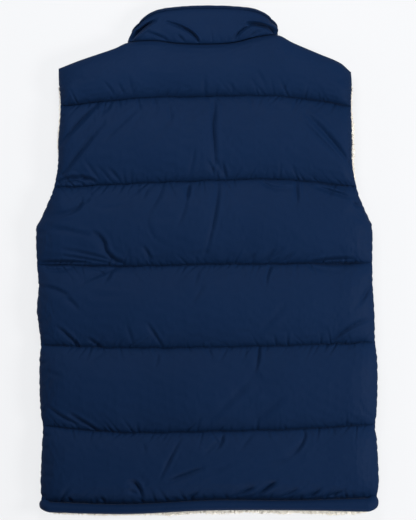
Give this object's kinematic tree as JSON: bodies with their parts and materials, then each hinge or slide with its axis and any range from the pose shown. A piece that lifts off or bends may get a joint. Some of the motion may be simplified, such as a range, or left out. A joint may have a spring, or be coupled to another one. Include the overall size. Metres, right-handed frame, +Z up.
{
  "type": "quilted vest",
  "caption": "Child's sleeveless quilted vest with stand-up collar, wide padded channels, narrow padded hem and fleece lining, laid flat on its zipped front with the back upwards.",
  "frame": {"origin": "under the middle of the vest, on the surface that it lies on", "axes": "+Y from the hem towards the collar, +Z up from the fronts to the back, +X towards the wearer's right side"},
  "size_m": [0.4282, 0.6398, 0.0342],
  "materials": {
    "shell": "fine nylon weave with a slight sheen",
    "binding": "fine nylon weave, rolled",
    "fleece": "curly pile",
    "zip_tape": "woven tape with moulded teeth",
    "zip_metal": "dark enamel"
  },
  "bodies": {
    "vest": {"back": "shell", "front_left": "shell", "front_right": "shell", "collar": "shell", "collar_piping": "binding", "hem_band": "shell", "lining_hem": "fleece", "lining_armhole_left": "fleece", "lining_armhole_right": "fleece", "zip_left": "zip_tape", "zip_right": "zip_tape", "zip_slider": "zip_metal"},
    "pull": {"zip_pull": "zip_metal"}
  },
  "joints": [
    {"name": "pull_swing", "type": "hinge", "parent": "vest", "child": "pull", "pos_m": [0.00012, 0.25108, 0.0022], "axis": [1, 0, 0], "range_deg": [0, 180]}
  ]
}
